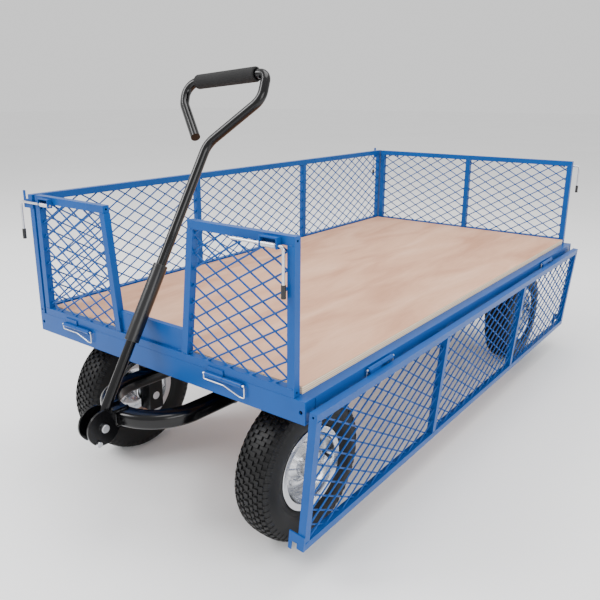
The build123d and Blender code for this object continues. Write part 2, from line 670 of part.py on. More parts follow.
def side_panel(side, turned):
    """Frame, wire and catches of one long side panel, drawn upright."""
    face = side * HALF_WIDTH
    x_span = (face, face - side * MEMBER)
    name = "left" if side < 0 else "right"
    bay = (BED_LENGTH - MEMBER) / SIDE_BAYS
    posts = [index * bay + MEMBER / 2 - HALF_LENGTH for index in range(SIDE_BAYS + 1)]
    with BuildPart() as frame:
        rail(x_span, (-HALF_LENGTH, HALF_LENGTH), (PANEL_BOTTOM, PANEL_BOTTOM + MEMBER), "Y")
        rail(x_span, (-HALF_LENGTH, HALF_LENGTH), (PANEL_TOP - MEMBER, PANEL_TOP), "Y")
        for post in posts:
            y_span = (post - MEMBER / 2, post + MEMBER / 2)
            tube(x_span, y_span, (PANEL_BOTTOM + MEMBER, PANEL_TOP - MEMBER), "Z")
        for hinge in SIDE_HINGES:
            own, _ = barrel_pair(hinge)
            middle = sum(own) / 2
            tab = (middle - TAB_WIDTH / 2, middle + TAB_WIDTH / 2)
            rod_y(own, side * HINGE_X, HINGE_HEIGHT, BARREL_RADIUS)
            tab_x = (face + side * PANEL_GAP, face + side * (PANEL_GAP + TAB_THICKNESS))
            bar((face, tab_x[1]), tab, (PANEL_BOTTOM, PANEL_BOTTOM + MEMBER / 2))
            bar(tab_x, tab, (HINGE_HEIGHT, PANEL_BOTTOM))
            rod_y(own, side * HINGE_X, HINGE_HEIGHT, PIN_RADIUS + RUNNING_GAP, Mode.SUBTRACT)
        for end in (-1, 1):
            y_span = (end * HALF_LENGTH, end * (HALF_LENGTH + LUG_THICKNESS))
            tip = face + side * LUG_REACH
            bar((face - side * MEMBER, face), y_span, (PANEL_TOP - LUG_HEIGHT, PANEL_TOP))
            bar((face, tip), y_span, (PANEL_TOP - LUG_HEIGHT, PANEL_TOP - LUG_NOTCH))
            bar((tip - side * LUG_FINGER, tip), y_span, (PANEL_TOP - LUG_NOTCH, PANEL_TOP + LUG_RISE))
    save(frame, f"{name}_panel_frame", turned)

    plane = Plane(origin=(face - side * MEMBER / 2, 0, BAY_MIDDLE), x_dir=(0, 1, 0), z_dir=(1, 0, 0))
    with BuildPart() as mesh:
        mesh_bays(SIDE_SHEET, plane, [post + bay / 2 for post in posts[:-1]])
    save(mesh, f"{name}_panel_mesh", turned)


RAIL_LOW = (PANEL_BOTTOM, PANEL_BOTTOM + MEMBER)
RAIL_HIGH = (PANEL_TOP - MEMBER, PANEL_TOP)
BAY_HEIGHT = PANEL_TOP - PANEL_BOTTOM - 2 * MEMBER
BAY_MIDDLE = (PANEL_TOP + PANEL_BOTTOM) / 2
SIDE_SHEET = diamond_sheet((BED_LENGTH - MEMBER) / SIDE_BAYS - MEMBER, BAY_HEIGHT)
side_panel(-1, None)
side_panel(1, HUNG)


def end_hinges(end, places):
    """Barrels and tabs of an end panel."""
    face = end * HALF_LENGTH
    for hinge in places:
        own, _ = barrel_pair(hinge)
        middle = sum(own) / 2
        tab = (middle - TAB_WIDTH / 2, middle + TAB_WIDTH / 2)
        rod_x(own, end * HINGE_Y, HINGE_HEIGHT, BARREL_RADIUS)
        tab_y = (face + end * PANEL_GAP, face + end * (PANEL_GAP + TAB_THICKNESS))
        bar(tab, (face, tab_y[1]), (PANEL_BOTTOM, PANEL_BOTTOM + MEMBER / 2))
        bar(tab, tab_y, (HINGE_HEIGHT, PANEL_BOTTOM))
        rod_x(own, end * HINGE_Y, HINGE_HEIGHT, PIN_RADIUS + RUNNING_GAP, Mode.SUBTRACT)


def upright_post(x_outer, side, y_span):
    """Post of an end panel whose outer face is at x_outer."""
    x_span = (x_outer, x_outer - side * MEMBER)
    tube(x_span, y_span, (PANEL_BOTTOM + MEMBER, PANEL_TOP - MEMBER), "Z")


rear_y = (HALF_LENGTH - MEMBER, HALF_LENGTH)
with BuildPart() as rear_panel_frame:
    for height in (RAIL_LOW, RAIL_HIGH):
        rail((-END_PANEL_HALF, END_PANEL_HALF), rear_y, height, "X")
    for post_side in (-1, 1):
        upright_post(post_side * END_PANEL_HALF, post_side, rear_y)
    tube((-MEMBER / 2, MEMBER / 2), rear_y, (RAIL_LOW[1], RAIL_HIGH[0]), "Z")
    end_hinges(1, REAR_HINGES)
save(rear_panel_frame, "rear_panel_frame")

rear_bay = END_PANEL_HALF - MEMBER * 1.5
rear_middle = (MEMBER + rear_bay) / 2
with BuildPart() as rear_panel_mesh:
    plane = Plane(origin=(0, HALF_LENGTH - MEMBER / 2, BAY_MIDDLE), x_dir=(1, 0, 0), z_dir=(0, -1, 0))
    mesh_bays(diamond_sheet(rear_bay, BAY_HEIGHT), plane, (-rear_middle, rear_middle))
save(rear_panel_mesh, "rear_panel_mesh")

front_y = (-HALF_LENGTH, MEMBER - HALF_LENGTH)
NOTCH_SLOPE = (NOTCH_TOP - NOTCH_BOTTOM) / (PANEL_TOP - PANEL_BOTTOM)


def notch_x(height):
    """Half width of the notch between the centre posts at a height."""
    return NOTCH_BOTTOM + (height - PANEL_BOTTOM) * NOTCH_SLOPE


FRONT_PLANE = Plane(origin=(0, -HALF_LENGTH, 0), x_dir=(1, 0, 0), z_dir=(0, -1, 0))


def leaning_strip(plane, side, inner, outer, low, high):
    """Sketch between two offsets from the notch's edge and two heights."""
    with BuildSketch(plane) as strip:
        Polygon(
            (side * (notch_x(low) + inner), low),
            (side * (notch_x(low) + outer), low),
            (side * (notch_x(high) + outer), high),
            (side * (notch_x(high) + inner), high),
            align=None,
        )
    return strip.sketch


with BuildPart() as front_panel_frame:
    rail((-END_PANEL_HALF, END_PANEL_HALF), front_y, RAIL_LOW, "X")
    for post_side in (-1, 1):
        rail((post_side * notch_x(RAIL_HIGH[1]), post_side * END_PANEL_HALF), front_y, RAIL_HIGH, "X")
        upright_post(post_side * END_PANEL_HALF, post_side, front_y)
        span = (RAIL_LOW[1], RAIL_HIGH[0])
        walls = (MEMBER_WALL, MEMBER - MEMBER_WALL)
        inside = FRONT_PLANE.offset(-MEMBER_WALL)
        extrude(leaning_strip(FRONT_PLANE, post_side, 0, MEMBER, *span), amount=-MEMBER)
        extrude(
            leaning_strip(inside, post_side, *walls, *span), amount=2 * MEMBER_WALL - MEMBER, mode=Mode.SUBTRACT
        )
    end_hinges(-1, FRONT_HINGES)
save(front_panel_frame, "front_panel_frame")

plate_face = PLATE_RECESS - HALF_LENGTH
with BuildPart() as front_centre_plate:
    with BuildSketch(FRONT_PLANE.offset(-PLATE_RECESS)):
        with BuildLine():
            low, high = RAIL_LOW[1], PLATE_TOP
            Polyline(
                (-notch_x(low), low),
                (notch_x(low), low),
                (notch_x(high), high),
                (-notch_x(high), high),
                close=True,
            )
        make_face()
    extrude(amount=-PLATE_THICKNESS)
    lip_x = notch_x(PLATE_TOP - PLATE_THICKNESS)
    lip_y = (plate_face + PLATE_THICKNESS, plate_face + PLATE_THICKNESS + PLATE_LIP)
    bar((-lip_x, lip_x), lip_y, (PLATE_TOP - PLATE_THICKNESS, PLATE_TOP))
save(front_centre_plate, "front_centre_plate")

low, high = RAIL_LOW[1], RAIL_HIGH[0]
inner_bottom = notch_x(low) + MEMBER
front_bay = END_PANEL_HALF - MEMBER - inner_bottom
front_middle = inner_bottom + front_bay / 2
with BuildPart() as front_panel_mesh:
    plane = Plane(origin=(0, MEMBER / 2 - HALF_LENGTH, BAY_MIDDLE), x_dir=(1, 0, 0), z_dir=(0, -1, 0))
    mesh_bays(diamond_sheet(front_bay, BAY_HEIGHT), plane, (-front_middle, front_middle))
    for post_side in (-1, 1):
        extrude(leaning_strip(FRONT_PLANE, post_side, 0, MEMBER, low, high), amount=-MEMBER, mode=Mode.SUBTRACT)
save(front_panel_mesh, "front_panel_mesh")


# ---------------------------------------------------------------- hinges on the bed


def hinge_lines():
    """Each hinge as its centre, the bed barrel's span, and whether it runs along X or Y."""
    for end, places in ((-1, FRONT_HINGES), (1, REAR_HINGES)):
        for place in places:
            yield "X", end, place
    for side in (-1, 1):
        for place in SIDE_HINGES:
            yield "Y", side, place


with BuildPart() as bed_barrels:
    for along, side, place in hinge_lines():
        _, own = barrel_pair(place)
        if along == "X":
            rod_x(own, side * HINGE_Y, HINGE_HEIGHT, BARREL_RADIUS)
            bar(own, (side * HALF_LENGTH, side * HINGE_Y), (HINGE_HEIGHT - BARREL_RADIUS, HINGE_HEIGHT))
            rod_x(own, side * HINGE_Y, HINGE_HEIGHT, PIN_RADIUS, Mode.SUBTRACT)
        else:
            rod_y(own, side * HINGE_X, HINGE_HEIGHT, BARREL_RADIUS)
            bar((side * HALF_WIDTH, side * HINGE_X), own, (HINGE_HEIGHT - BARREL_RADIUS, HINGE_HEIGHT))
            rod_y(own, side * HINGE_X, HINGE_HEIGHT, PIN_RADIUS, Mode.SUBTRACT)
save(bed_barrels, "bed_hinge_barrels")

PIN_HALF = BARREL_LENGTH + BARREL_GAP / 2 + PIN_OVERHANG
with BuildPart() as hinge_pins:
    for along, side, place in hinge_lines():
        run = (place - PIN_HALF, place + PIN_HALF)
        if along == "X":
            rod_x(run, side * HINGE_Y, HINGE_HEIGHT, PIN_RADIUS)
        else:
            rod_y(run, side * HINGE_X, HINGE_HEIGHT, PIN_RADIUS)
save(hinge_pins, "hinge_pins")


def keeper_plane(along, side, place):
    """Upright plane through a hinge pin, with local x along the pin."""
    if along == "X":
        return Plane(origin=(place, side * HINGE_Y, HINGE_HEIGHT), x_dir=(1, 0, 0), z_dir=(0, -1, 0))
    return Plane(origin=(side * HINGE_X, place, HINGE_HEIGHT), x_dir=(0, 1, 0), z_dir=(1, 0, 0))


with BuildPart() as hinge_keepers:
    for along, side, place in hinge_lines():
        plane = keeper_plane(along, side, place)
        start = -PIN_HALF + KEEPER_RADIUS
        hook = PIN_HALF - KEEPER_RADIUS
        route = [
            (start, -PIN_RADIUS),
            (start, -KEEPER_DROP / 2),
            (0, -KEEPER_DROP / 2),
            (hook - 2 * KEEPER_RING, -KEEPER_DROP),
            (hook, -KEEPER_DROP),
            (hook, -PIN_RADIUS),
        ]
        with BuildLine(plane) as wire:
            FilletPolyline(*route, radius=KEEPER_RING / 2)
        sweep(round_section(wire.line @ 0, wire.line % 0, KEEPER_RADIUS), path=wire.line)
save(hinge_keepers, "hinge_keepers")


# ---------------------------------------------------------------- corner latches


def latch_axis_y(end):
    """Y of the latch rods' line in front of, or behind, an end panel."""
    return end * (HALF_LENGTH + LATCH_OUT)


def latch_brackets(end):
    """The two folded brackets of an end panel, each with two ears that guide a latch rod."""
    y = latch_axis_y(end)
    face = end * HALF_LENGTH
    outer = y + end * (LATCH_RADIUS + EAR_THICKNESS)
    with BuildPart() as brackets:
        for side in (-1, 1):
            x_span = (side * EAR_INNER, side * EAR_OUTER)
            bar(x_span, (face, outer), (LATCH_HEIGHT + BRACKET_TOP - EAR_THICKNESS, LATCH_HEIGHT + BRACKET_TOP))
            for ear in (EAR_INNER, EAR_OUTER - EAR_THICKNESS):
                ear_x = (side * ear, side * (ear + EAR_THICKNESS))
                bar(ear_x, (face, outer), (LATCH_HEIGHT - 2 * LATCH_RADIUS, LATCH_HEIGHT + BRACKET_TOP))
                rod_x(ear_x, y, LATCH_HEIGHT, LATCH_RADIUS + RUNNING_GAP, Mode.SUBTRACT)
    return brackets


def make_latch(name, side, end):
    """Bent rod and rubber grip of one corner latch."""
    y = latch_axis_y(end)
    leg_x = side * (LATCH_RETRACTED + LATCH_OFFSETS[name])
    start_x = side * (LATCH_INNER + LATCH_OFFSETS[name])
    foot = LATCH_HEIGHT - LATCH_LEG
    with BuildPart() as rod:
        with BuildLine() as line:
            FilletPolyline(
                (start_x, y, LATCH_HEIGHT),
                (leg_x, y, LATCH_HEIGHT),
                (leg_x, y, foot - LATCH_GRIP_LENGTH + LATCH_RADIUS),
                radius=LATCH_BEND,
            )
        sweep(round_section((start_x, y, LATCH_HEIGHT), (side, 0, 0), LATCH_RADIUS), path=line.line)
    save(rod, f"latch_rod_{name}")
    with BuildPart() as grip:
        rod_z((foot - LATCH_GRIP_LENGTH, foot), leg_x, y, LATCH_GRIP_RADIUS)
        rod_z((foot - LATCH_GRIP_LENGTH + LATCH_RADIUS, foot), leg_x, y, LATCH_RADIUS, Mode.SUBTRACT)
    save(grip, f"latch_grip_{name}")


def latch_springs(end):
    """Coil springs around the latch rods, between each bracket's ears."""
    y = latch_axis_y(end)
    first = EAR_INNER + EAR_THICKNESS + SPRING_WIRE + PANEL_GAP
    last = EAR_OUTER - EAR_THICKNESS - SPRING_WIRE - PANEL_GAP
    pitch = (last - first) / SPRING_TURNS
    with BuildPart() as springs:
        for side in (-1, 1):
            centre = (side * first, y, LATCH_HEIGHT)
            with BuildLine() as coil:
                Helix(pitch, last - first, SPRING_RADIUS - SPRING_WIRE, center=centre, direction=(side, 0, 0))
            with BuildSketch(Plane(origin=coil.line @ 0, z_dir=coil.line % 0)) as section:
                RegularPolygon(SPRING_WIRE, SPRING_FACETS)
            sweep(section.sketch, path=coil.line, is_frenet=True)
    return springs


for latch_end, end_name in ((-1, "front"), (1, "rear")):
    brackets = latch_brackets(latch_end)
    save(brackets, f"{end_name}_latch_brackets")
    springs = latch_springs(latch_end)
    save(springs, f"{end_name}_latch_springs")
    for latch_side, side_name in ((-1, "left"), (1, "right")):
        make_latch(f"{end_name}_{side_name}", latch_side, latch_end)
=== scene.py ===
import json
import math
import random

import bmesh
import bpy
from mathutils import Matrix, Vector


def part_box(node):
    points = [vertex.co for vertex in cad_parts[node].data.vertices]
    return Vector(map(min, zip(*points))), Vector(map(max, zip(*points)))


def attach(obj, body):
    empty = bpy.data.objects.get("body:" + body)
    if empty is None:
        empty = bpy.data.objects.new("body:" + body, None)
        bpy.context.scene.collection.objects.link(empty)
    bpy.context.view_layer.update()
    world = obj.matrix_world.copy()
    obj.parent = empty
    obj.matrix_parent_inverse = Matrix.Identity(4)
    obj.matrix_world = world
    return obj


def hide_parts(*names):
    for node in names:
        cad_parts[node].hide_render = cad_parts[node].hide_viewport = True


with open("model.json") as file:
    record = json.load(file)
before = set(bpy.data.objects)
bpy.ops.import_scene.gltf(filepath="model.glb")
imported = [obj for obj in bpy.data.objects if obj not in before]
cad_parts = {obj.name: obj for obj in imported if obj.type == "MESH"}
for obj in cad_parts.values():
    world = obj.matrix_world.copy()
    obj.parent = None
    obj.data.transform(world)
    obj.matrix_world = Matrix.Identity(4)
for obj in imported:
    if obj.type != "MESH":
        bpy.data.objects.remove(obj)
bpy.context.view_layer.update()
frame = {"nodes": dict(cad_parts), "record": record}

random.seed(7)
record = frame["record"]
joints = {joint["name"]: joint for joint in record["behaviour"]["joints"]}
body_of_node = {node: body for body, nodes in record["behaviour"]["bodies"].items() for node in nodes}
slot_of_node = {entry["node"]: entry["material_slot"] for entry in record["subparts"]}

CORNERS = ("front_left", "front_right", "rear_left", "rear_right")
MEMBER = 0.020
HINGE_OUT = 0.0066
HINGE_DROP = 0.009
PANEL_HEIGHT = 0.36
WIRE_RADIUS = 0.0023
SHORTEST_WIRE = 0.004
WIRE_OVERLAP = 0.002
DIAMOND_LENGTH = 0.070
DIAMOND_HEIGHT = 0.041
SIDE_BAYS = 3


# ---------------------------------------------------------------- materials


def new_material(name):
    """Empty node material with its output and one Principled shader."""
    material = bpy.data.materials.new(name)
    material.use_nodes = True
    nodes = material.node_tree.nodes
    nodes.clear()
    output = nodes.new("ShaderNodeOutputMaterial")
    shader = nodes.new("ShaderNodeBsdfPrincipled")
    material.node_tree.links.new(shader.outputs["BSDF"], output.inputs["Surface"])
    return material, nodes, material.node_tree.links, shader


def noise(nodes, links, scale, detail=4.0, stretch=(1, 1, 1)):
    """Noise texture on the object's own coordinates."""
    place = nodes.new("ShaderNodeTexCoord")
    mapping = nodes.new("ShaderNodeMapping")
    mapping.inputs["Scale"].default_value = stretch
    texture = nodes.new("ShaderNodeTexNoise")
    texture.inputs["Scale"].default_value = scale
    texture.inputs["Detail"].default_value = detail
    links.new(place.outputs["Object"], mapping.inputs["Vector"])
    links.new(mapping.outputs["Vector"], texture.inputs["Vector"])
    return texture


def ramp(nodes, links, source, stops):
    """Colour ramp driven by a socket; stops are (position, colour)."""
    node = nodes.new("ShaderNodeValToRGB")
    elements = node.color_ramp.elements
    while len(elements) < len(stops):
        elements.new(0.5)
    for element, (position, colour) in zip(elements, stops):
        element.position = position
        element.color = (*colour, 1)
    links.new(source, node.inputs["Fac"])
    return node


def bump(nodes, links, height, shader, strength, distance):
    """Bump from a height socket into the shader's normal."""
    node = nodes.new("ShaderNodeBump")
    node.inputs["Strength"].default_value = strength
    node.inputs["Distance"].default_value = distance
    links.new(height, node.inputs["Height"])
    links.new(node.outputs["Normal"], shader.inputs["Normal"])


def tinted(colour, factor):
    """Colour made lighter or darker."""
    return tuple(min(1.0, channel * factor) for channel in colour)


def surface(
    name, colour, roughness, metallic=0.0, coat=0.0, grain=900.0, spread=0.08, relief=0.06, distance=0.0004, shine=0.5
):
    """Painted, plated or moulded surface with soft variation of colour and gloss and a fine relief."""
    material, nodes, links, shader = new_material(name)
    shader.inputs["Metallic"].default_value = metallic
    shader.inputs["Coat Weight"].default_value = coat
    shader.inputs["Coat Roughness"].default_value = 0.08
    shader.inputs["Specular IOR Level"].default_value = shine
    cloud = noise(nodes, links, 9.0, 6.0)
    colours = ramp(
        nodes, links, cloud.outputs["Fac"], [(0.3, tinted(colour, 1 - spread)), (0.7, tinted(colour, 1 + spread))]
    )
    links.new(colours.outputs["Color"], shader.inputs["Base Color"])
    gloss = nodes.new("ShaderNodeMapRange")
    gloss.inputs["To Min"].default_value = roughness * 0.85
    gloss.inputs["To Max"].default_value = roughness * 1.15
    links.new(cloud.outputs["Fac"], gloss.inputs["Value"])
    links.new(gloss.outputs["Result"], shader.inputs["Roughness"])
    fine = noise(nodes, links, grain, 3.0)
    bump(nodes, links, fine.outputs["Fac"], shader, relief, distance)
    return material


def plywood_material():
    """Pale plywood: long grain on the faces and thin layers on the edges."""
    material, nodes, links, shader = new_material("plywood")
    shader.inputs["Roughness"].default_value = 0.62
    face = noise(nodes, links, 3.0, 8.0, (3.2, 0.7, 1.0))
    face.inputs["Distortion"].default_value = 0.6
    pale, middle, dark = (0.70, 0.42, 0.275), (0.62, 0.345, 0.215), (0.50, 0.25, 0.145)
    grain = ramp(nodes, links, face.outputs["Fac"], [(0.3, dark), (0.5, middle), (0.68, pale)])
    fibre = noise(nodes, links, 60.0, 4.0, (6.0, 0.25, 1.0))
    fine = ramp(nodes, links, fibre.outputs["Fac"], [(0.35, (0.86, 0.84, 0.82)), (0.6, (1, 1, 1))])
    mix = nodes.new("ShaderNodeMixRGB")
    mix.blend_type = "MULTIPLY"
    mix.inputs["Fac"].default_value = 0.55
    links.new(grain.outputs["Color"], mix.inputs["Color1"])
    links.new(fine.outputs["Color"], mix.inputs["Color2"])
    place = nodes.new("ShaderNodeTexCoord")
    layers = nodes.new("ShaderNodeTexWave")
    layers.bands_direction = "Z"
    layers.inputs["Scale"].default_value = 62.0
    layers.inputs["Distortion"].default_value = 0.4
    links.new(place.outputs["Object"], layers.inputs["Vector"])
    edge = ramp(nodes, links, layers.outputs["Fac"], [(0.25, (0.62, 0.45, 0.28)), (0.7, (0.92, 0.78, 0.56))])
    geometry = nodes.new("ShaderNodeNewGeometry")
    split = nodes.new("ShaderNodeSeparateXYZ")
    links.new(geometry.outputs["Normal"], split.inputs["Vector"])
    flat = nodes.new("ShaderNodeMath")
    flat.operation = "ABSOLUTE"
    links.new(split.outputs["Z"], flat.inputs[0])
    both = nodes.new("ShaderNodeMixRGB")
    links.new(flat.outputs["Value"], both.inputs["Fac"])
    links.new(edge.outputs["Color"], both.inputs["Color1"])
    links.new(mix.outputs["Color"], both.inputs["Color2"])
    links.new(both.outputs["Color"], shader.inputs["Base Color"])
    bump(nodes, links, fibre.outputs["Fac"], shader, 0.12, 0.0006)
    return material


def tyre_material():
    """Black rubber with a soft random variation of tone."""
    return surface("tyre_rubber", (0.003, 0.003, 0.0035), 0.5, grain=260.0, spread=0.3, relief=0.25, shine=0.3)


materials = {
    "blue_paint": surface("blue_paint", (0.0, 0.062, 0.27), 0.32, grain=420.0, relief=0.05, shine=0.22),
    "plywood": plywood_material(),
    "black_paint": surface("black_paint", (0.0015, 0.0015, 0.002), 0.18, grain=500.0, relief=0.03, shine=0.35),
    "dark_sleeve": surface("dark_sleeve", (0.004, 0.004, 0.005), 0.30, grain=700.0, relief=0.10),
    "foam_grip": surface("foam_grip", (0.004, 0.004, 0.0045), 0.85, grain=1500.0, relief=0.55, distance=0.0008),
    "zinc": surface("zinc", (0.66, 0.67, 0.69), 0.30, metallic=1.0, grain=300.0, relief=0.08),
    "black_rubber": surface("black_rubber", (0.012, 0.012, 0.013), 0.5, grain=700.0, relief=0.2),
    "tyre_rubber": tyre_material(),
    "rim_silver": surface("rim_silver", (0.70, 0.71, 0.73), 0.20, metallic=1.0, grain=500.0, relief=0.05),
}


# ---------------------------------------------------------------- mesh helpers


def add_piece(name, vertices, faces, slot, body, smooth_angle=35.0):
    """Mesh object with a finish, shaded smooth below an angle, riding on a body."""
    mesh = bpy.data.meshes.new(name)
    mesh.from_pydata([tuple(v) for v in vertices], [], faces)
    mesh.validate()
    finish_mesh(mesh, smooth_angle)
    piece = bpy.data.objects.new(name, mesh)
    bpy.context.scene.collection.objects.link(piece)
    mesh.materials.append(materials[slot])
    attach(piece, body)
    return piece


def finish_mesh(mesh, smooth_angle):
    """Consistent outward faces, smooth except at sharp edges."""
    shape = bmesh.new()
    shape.from_mesh(mesh)
    bmesh.ops.recalc_face_normals(shape, faces=shape.faces)
    shape.to_mesh(mesh)
    shape.free()
    mesh.shade_smooth()
    mesh.set_sharp_from_angle(angle=math.radians(smooth_angle))


def bevel(piece, width, segments=2, angle=32.0):
    """Rounded edges."""
    modifier = piece.modifiers.new("rounded", "BEVEL")
    modifier.width = width
    modifier.segments = segments
    modifier.limit_method = "ANGLE"
    modifier.angle_limit = math.radians(angle)
    modifier.harden_normals = True


def refined(node, width, segments=2, angle=32.0):
    """The CAD node with merged faces and rounded edges, shown in the node's place."""
    source = frame["nodes"][node].data
    mesh = bpy.data.meshes.new("look_" + node)
    mesh.from_pydata([tuple(v.co) for v in source.vertices], [], [tuple(p.vertices) for p in source.polygons])
    shape = bmesh.new()
    shape.from_mesh(mesh)
    bmesh.ops.remove_doubles(shape, verts=shape.verts, dist=2e-6)
    bmesh.ops.dissolve_limit(shape, angle_limit=math.radians(0.4), verts=shape.verts, edges=shape.edges)
    shape.to_mesh(mesh)
    shape.free()
    finish_mesh(mesh, angle)
    piece = bpy.data.objects.new("look_" + node, mesh)
    bpy.context.scene.collection.objects.link(piece)
    mesh.materials.append(materials[slot_of_node[node]])
    if width:
        bevel(piece, width, segments, angle)
    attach(piece, body_of_node[node])
    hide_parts(node)
    return piece


def place_matrix(joint, outward=1):
    """Matrix from a wheel's own frame, with +X outward, to the row frame."""
    axis = Vector(joint["axis"])
    angle = math.atan2(axis.y, axis.x) + (0 if outward > 0 else math.pi)
    return Matrix.Translation(joint["pos_m"]) @ Matrix.Rotation(angle, 4, "Z")


def revolved(profile, segments):
    """Vertices and faces of a closed (axial, radius) profile turned about X."""
    count = len(profile)
    vertices, faces = [], []
    for step in range(segments):
        angle = 2 * math.pi * step / segments
        for axial, radius in profile:
            vertices.append(Vector((axial, radius * math.cos(angle), radius * math.sin(angle))))
    for step in range(segments):
        here, there = step * count, (step + 1) % segments * count
        for index in range(count):
            after = (index + 1) % count
            faces.append((here + index, here + after, there + after, there + index))
    return vertices, faces


def swept(points, section, up=Vector((0, 0, 1))):
    """Vertices and faces of a section carried along points; the section's y lies towards up."""
    vertices, faces = [], []
    count = len(section)
    for index, point in enumerate(points):
        before = points[max(index - 1, 0)]
        after = points[min(index + 1, len(points) - 1)]
        along = (after - before).normalized()
        across = along.cross(up).normalized()
        lift = across.cross(along).normalized()
        vertices += [point + across * x + lift * y for x, y in section]
    rings = len(points)
    for ring in range(rings - 1):
        here, there = ring * count, (ring + 1) * count
        for index in range(count):
            after = (index + 1) % count
            faces.append((here + index, here + after, there + after, there + index))
    faces.append(tuple(range(count)))
    faces.append(tuple((rings - 1) * count + index for index in reversed(range(count))))
    return vertices, faces


def circle(radius, sides):
    """Points of a round section."""
    turns = [2 * math.pi * index / sides for index in range(sides)]
    return [(radius * math.cos(turn), radius * math.sin(turn)) for turn in turns]


def rounded_rectangle(width, height, radius, steps=5):
    """Points of a rounded rectangular section."""
    points = []
    for corner, (x, y) in enumerate(((1, 1), (-1, 1), (-1, -1), (1, -1))):
        centre = (x * (width / 2 - radius), y * (height / 2 - radius))
        for step in range(steps + 1):
            angle = math.pi / 2 * (corner + step / steps)
            points.append((centre[0] + radius * math.cos(angle), centre[1] + radius * math.sin(angle)))
    return points


def joined(parts):
    """One vertex and face list from several."""
    vertices, faces = [], []
    for part_vertices, part_faces in parts:
        start = len(vertices)
        vertices += part_vertices
        faces += [tuple(start + index for index in face) for face in part_faces]
    return vertices, faces


def moved(part, matrix):
    """Vertex and face list moved by a matrix."""
    return [matrix @ v for v in part[0]], part[1]


def bead(start, end, radius=0.0022):
    """Weld bead between two points, with the ripples of its puddles."""
    start, end = Vector(start), Vector(end)
    length = (end - start).length
    along = (end - start).normalized()
    steps = max(6, int(length / 0.0012))
    helper = Vector((0, 0, 1)) if abs(along.z) < 0.9 else Vector((1, 0, 0))
    across = along.cross(helper).normalized()
    lift = across.cross(along)
    vertices, faces = [], []
    sides = 7
    for step in range(steps + 1):
        part = step / steps
        taper = min(1.0, 6 * part, 6 * (1 - part)) * 0.75 + 0.25
        size = radius * taper * (1 + 0.16 * math.sin(step * 1.9) + random.uniform(-0.06, 0.06))
        for x, y in circle(size, sides):
            vertices.append(start + along * (length * part) + across * x + lift * y)
    for step in range(steps):
        for index in range(sides):
            after = (index + 1) % sides
            here, there = step * sides, (step + 1) * sides
            faces.append((here + index, here + after, there + after, there + index))
    faces.append(tuple(range(sides)))
    faces.append(tuple(steps * sides + index for index in reversed(range(sides))))
    return vertices, faces


# ---------------------------------------------------------------- wheels

SHOULDER = [(0.0385, 0.1021), (0.0386, 0.1125), (0.0420, 0.1150), (0.0480, 0.1240), (0.0490, 0.1262), (0.0500, 0.1266),
            (0.0545, 0.1400), (0.0558, 0.1520), (0.0548, 0.1640), (0.0530, 0.1700), (0.0524, 0.1740), (0.0490, 0.1845),
            (0.0420, 0.1895), (0.0280, 0.1938), (0.0120, 0.1953)]
TYRE_PROFILE = (
    [(-a, r) for a, r in SHOULDER]
    + [(0.0, 0.1956)]
    + [(a, r) for a, r in reversed(SHOULDER)]
    + [(0.0285, 0.1021), (0.0440, 0.1500), (0.0300, 0.1780), (-0.0300, 0.1780), (-0.0440, 0.1500), (-0.0285, 0.1021)]
)


BLOCK_TAPER = 0.86


def tread_block(angle, half_angle, axial, tops, depth):
    """Tapered rubber block on the tread: axial span, and its top's radius at both ends."""
    vertices = []
    for level in (0, 1):
        shrink = BLOCK_TAPER if level else 1.0
        middle = (axial[0] + axial[1]) / 2
        for end in (0, 1):
            place = middle + (axial[end] - middle) * shrink
            radius = tops[end] if level else tops[end] - depth
            for side in (-1, 1):
                turn = angle + side * half_angle * shrink
                vertices.append(Vector((place, radius * math.cos(turn), radius * math.sin(turn))))
    faces = [(0, 1, 3, 2), (4, 6, 7, 5), (0, 4, 5, 1), (2, 3, 7, 6), (0, 2, 6, 4), (1, 5, 7, 3)]
    return vertices, faces


# Each row: axial span, radius at both ends, shift and half width in pitches, depth.
TREAD_PITCHES = 60
TREAD_ROWS = (
    ((-0.0080, 0.0080), (0.1998, 0.1998), 0.0, 0.30, 0.0080),
    ((0.0100, 0.0215), (0.1997, 0.1990), 0.5, 0.32, 0.0080),
    ((0.0232, 0.0345), (0.1986, 0.1966), 0.0, 0.34, 0.0085),
    ((0.0360, 0.0460), (0.1958, 0.1912), 0.5, 0.34, 0.0090),
    ((0.0468, 0.0530), (0.1900, 0.1790), 0.0, 0.30, 0.0100),
)


def tyre_parts():
    """Carcass and knobbly tread of one tyre in the wheel's own frame."""
    blocks = []
    pitch = 2 * math.pi / TREAD_PITCHES
    for index in range(TREAD_PITCHES):
        for span, tops, shift, half, depth in TREAD_ROWS:
            angle = (index + shift) * pitch
            blocks.append(tread_block(angle, half * pitch, span, tops, depth))
            if span[0] > 0:
                mirrored = (-span[0], -span[1])
                blocks.append(tread_block(angle, half * pitch, mirrored, tops, depth))
    return revolved(TYRE_PROFILE, 96), joined(blocks)


